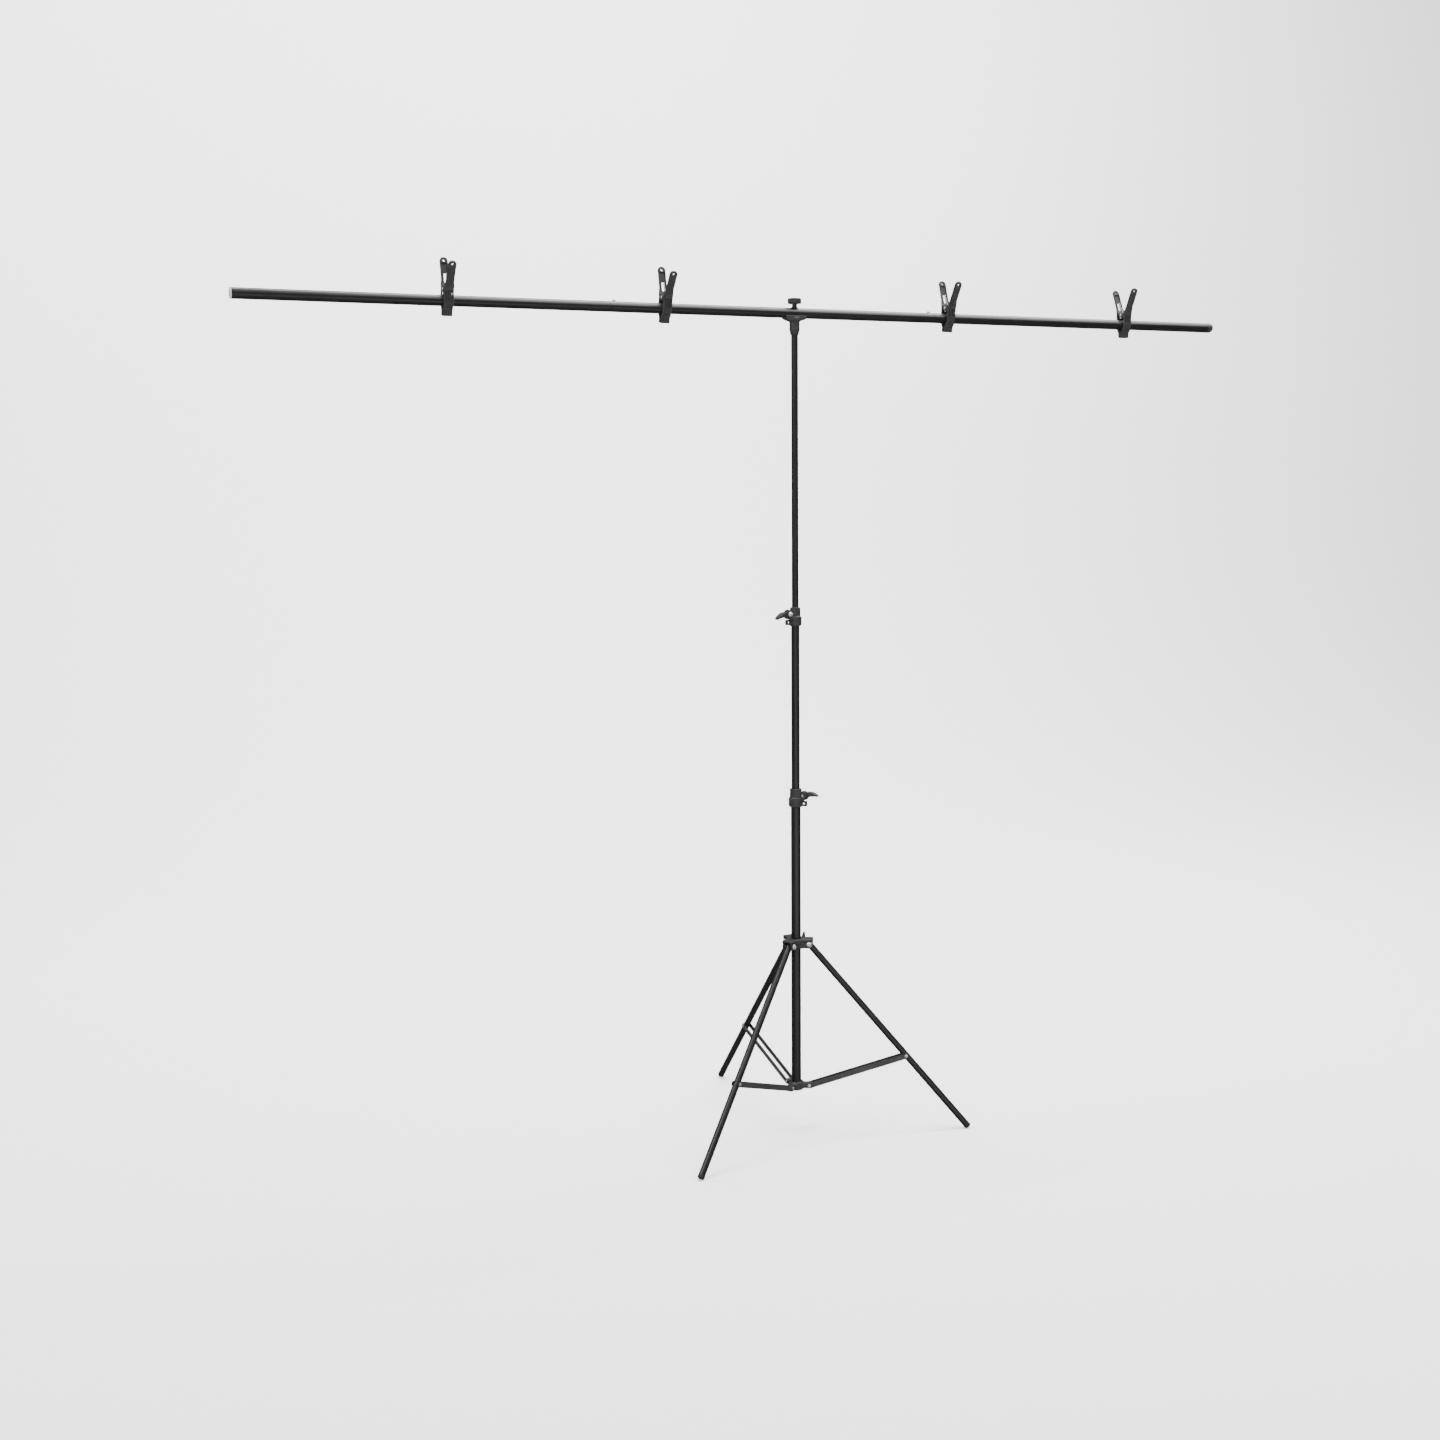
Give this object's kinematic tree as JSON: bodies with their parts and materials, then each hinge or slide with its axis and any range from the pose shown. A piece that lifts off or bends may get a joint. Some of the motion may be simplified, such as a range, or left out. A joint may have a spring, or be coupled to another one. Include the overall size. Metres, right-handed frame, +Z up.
{
  "type": "backdrop stand",
  "caption": "Folding tripod stand with a telescopic column, a sectional crossbar and sliding spring clips for hanging a photo backdrop.",
  "frame": {"origin": "on the floor, under the middle of the set-up stand's outline", "axes": "+X along the crossbar towards its domed end, +Z up"},
  "size_m": [2, 0.539, 1.6672],
  "materials": {
    "black_tube": "satin black powder coat",
    "black_steel": "black coated pressed steel",
    "black_plastic": "moulded, fine satin",
    "clip_nylon": "moulded nylon, slightly glossy",
    "bright_steel": "bright zinc",
    "grey_plastic": "moulded",
    "foot_rubber": "matte"
  },
  "bodies": {
    "base": {"lower_tube": "black_tube", "lower_hub": "black_steel", "lower_hub_rivet_1": "bright_steel", "lower_hub_rivet_2": "bright_steel", "lower_hub_rivet_3": "bright_steel", "lower_collar": "black_plastic", "lower_collar_pin": "bright_steel"},
    "lower_lever": {"lower_collar_lever": "black_plastic"},
    "upper_hub": {"upper_hub": "black_plastic", "upper_hub_bolt_1": "bright_steel", "upper_hub_bolt_2": "bright_steel", "upper_hub_bolt_3": "bright_steel"},
    "hub_knob": {"hub_knob": "black_plastic"},
    "middle": {"middle_tube": "black_tube", "upper_collar": "black_plastic", "upper_collar_pin": "bright_steel"},
    "upper_lever": {"upper_collar_lever": "black_plastic"},
    "top": {"top_tube": "black_tube"},
    "head": {"head_hub": "black_plastic", "bar_middle": "black_tube", "bar_left": "black_tube", "bar_right": "black_tube", "bar_end_ring": "grey_plastic", "bar_end_cap": "black_plastic"},
    "bar_knob": {"bar_knob": "black_plastic"},
    "left_button": {"bar_left_button": "bright_steel"},
    "right_button": {"bar_right_button": "bright_steel"},
    "leg_1": {"leg_1": "black_tube", "foot_cap_1": "foot_rubber"},
    "brace_1": {"brace_1_strip_a": "black_steel", "brace_1_strip_b": "black_steel"},
    "leg_2": {"leg_2": "black_tube", "foot_cap_2": "foot_rubber"},
    "brace_2": {"brace_2_strip_a": "black_steel", "brace_2_strip_b": "black_steel"},
    "leg_3": {"leg_3": "black_tube", "foot_cap_3": "foot_rubber"},
    "brace_3": {"brace_3_strip_a": "black_steel", "brace_3_strip_b": "black_steel"},
    "clip_1": {"clip_1_front": "clip_nylon", "clip_1_pin": "bright_steel", "clip_1_spring": "bright_steel"},
    "clip_1_back": {"clip_1_back": "clip_nylon"},
    "clip_2": {"clip_2_front": "clip_nylon", "clip_2_pin": "bright_steel", "clip_2_spring": "bright_steel"},
    "clip_2_back": {"clip_2_back": "clip_nylon"},
    "clip_3": {"clip_3_front": "clip_nylon", "clip_3_pin": "bright_steel", "clip_3_spring": "bright_steel"},
    "clip_3_back": {"clip_3_back": "clip_nylon"},
    "clip_4": {"clip_4_front": "clip_nylon", "clip_4_pin": "bright_steel", "clip_4_spring": "bright_steel"},
    "clip_4_back": {"clip_4_back": "clip_nylon"}
  },
  "joints": [
    {"name": "upper_hub_slide", "type": "slide", "parent": "base", "child": "upper_hub", "axis": [0, 0, 1], "range_m": [0, 0.208]},
    {"name": "leg_1_fold", "type": "hinge", "parent": "upper_hub", "child": "leg_1", "pos_m": [0.05975, -0.08806, 0.37131], "axis": [0.4423, 0.8969, 0], "range_deg": [0, 38.2]},
    {"name": "brace_1_fold", "type": "hinge", "parent": "base", "child": "brace_1", "pos_m": [0.05975, -0.08806, 0.08397], "axis": [0.4423, 0.8969, 0], "range_deg": [-68.2, 0]},
    {"name": "leg_2_fold", "type": "hinge", "parent": "upper_hub", "child": "leg_2", "pos_m": [0.0347, -0.05057, 0.37131], "axis": [-0.9979, -0.0654, 0], "range_deg": [0, 38.2]},
    {"name": "brace_2_fold", "type": "hinge", "parent": "base", "child": "brace_2", "pos_m": [0.0347, -0.05057, 0.08397], "axis": [-0.9979, -0.0654, 0], "range_deg": [-68.2, 0]},
    {"name": "leg_3_fold", "type": "hinge", "parent": "upper_hub", "child": "leg_3", "pos_m": [0.01476, -0.09101, 0.37131], "axis": [0.5556, -0.8315, 0], "range_deg": [0, 38.2]},
    {"name": "brace_3_fold", "type": "hinge", "parent": "base", "child": "brace_3", "pos_m": [0.01476, -0.09101, 0.08397], "axis": [0.5556, -0.8315, 0], "range_deg": [-68.2, 0]},
    {"name": "hub_knob_turn", "type": "hinge", "parent": "upper_hub", "child": "hub_knob", "pos_m": [0.04946, -0.06782, 0.37377], "axis": [0.8315, 0.5556, 0], "range_deg": [-180, 180]},
    {"name": "middle_tube_slide", "type": "slide", "parent": "base", "child": "middle", "axis": [0, 0, 1], "range_m": [-0.316, 0.155]},
    {"name": "top_tube_slide", "type": "slide", "parent": "middle", "child": "top", "axis": [0, 0, 1], "range_m": [-0.513, 0]},
    {"name": "lower_lever_turn", "type": "hinge", "parent": "base", "child": "lower_lever", "pos_m": [0.04717, -0.0897, 0.66847], "axis": [-0.7737, -0.6335, 0], "range_deg": [-18, 67]},
    {"name": "upper_lever_turn", "type": "hinge", "parent": "middle", "child": "upper_lever", "pos_m": [0.02126, -0.07985, 1.02197], "axis": [-0.2132, 0.977, 0], "range_deg": [0, 85]},
    {"name": "head_swivel", "type": "hinge", "parent": "top", "child": "head", "pos_m": [0.0364, -0.07654, 1.56997], "axis": [0, 0, 1], "continuous": true},
    {"name": "bar_knob_turn", "type": "hinge", "parent": "head", "child": "bar_knob", "pos_m": [0.0364, -0.07654, 1.59947], "axis": [0, 0, 1], "range_deg": [-180, 180]},
    {"name": "left_button_press", "type": "slide", "parent": "head", "child": "left_button", "axis": [0, 0, -1], "range_m": [0, 0.0045], "stiffness_N_per_m": 600},
    {"name": "right_button_press", "type": "slide", "parent": "head", "child": "right_button", "axis": [0, 0, -1], "range_m": [0, 0.0045], "stiffness_N_per_m": 600},
    {"name": "clip_1_slide", "type": "slide", "parent": "head", "child": "clip_1", "axis": [1, 0, 0], "range_m": [-0.355, 0.29]},
    {"name": "clip_1_squeeze", "type": "hinge", "parent": "clip_1", "child": "clip_1_back", "pos_m": [-0.6311, -0.08049, 1.60855], "axis": [1, 0, 0], "range_deg": [0, 25], "stiffness_Nm_per_rad": 0.2, "springref_deg": -1.15, "deforming": ["clip_1_spring"]},
    {"name": "clip_2_slide", "type": "slide", "parent": "head", "child": "clip_2", "axis": [1, 0, 0], "range_m": [-0.085, 0.22]},
    {"name": "clip_2_squeeze", "type": "hinge", "parent": "clip_2", "child": "clip_2_back", "pos_m": [-0.2248, -0.08082, 1.60848], "axis": [1, 0, 0], "range_deg": [0, 25], "stiffness_Nm_per_rad": 0.2, "springref_deg": -1.15, "deforming": ["clip_2_spring"]},
    {"name": "clip_3_slide", "type": "slide", "parent": "head", "child": "clip_3", "axis": [1, 0, 0], "range_m": [-0.03, 0.19]},
    {"name": "clip_3_squeeze", "type": "hinge", "parent": "clip_3", "child": "clip_3_back", "pos_m": [0.3675, -0.07886, 1.60882], "axis": [1, 0, 0], "range_deg": [0, 25], "stiffness_Nm_per_rad": 0.2, "springref_deg": -1.15, "deforming": ["clip_3_spring"]},
    {"name": "clip_4_slide", "type": "slide", "parent": "head", "child": "clip_4", "axis": [1, 0, 0], "range_m": [-0.19, 0.19]},
    {"name": "clip_4_squeeze", "type": "hinge", "parent": "clip_4", "child": "clip_4_back", "pos_m": [0.7793, -0.07704, 1.60896], "axis": [1, 0, 0], "range_deg": [0, 25], "stiffness_Nm_per_rad": 0.2, "springref_deg": -1.15, "deforming": ["clip_4_spring"]}
  ],
  "couplings": [
    {"joint": "leg_1_fold", "follows": "upper_hub_slide", "rad_per_m": 3.1886},
    {"joint": "brace_1_fold", "follows": "upper_hub_slide", "rad_per_m": -5.7063},
    {"joint": "leg_2_fold", "follows": "upper_hub_slide", "rad_per_m": 3.1886},
    {"joint": "brace_2_fold", "follows": "upper_hub_slide", "rad_per_m": -5.7063},
    {"joint": "leg_3_fold", "follows": "upper_hub_slide", "rad_per_m": 3.1886},
    {"joint": "brace_3_fold", "follows": "upper_hub_slide", "rad_per_m": -5.7063}
  ]
}
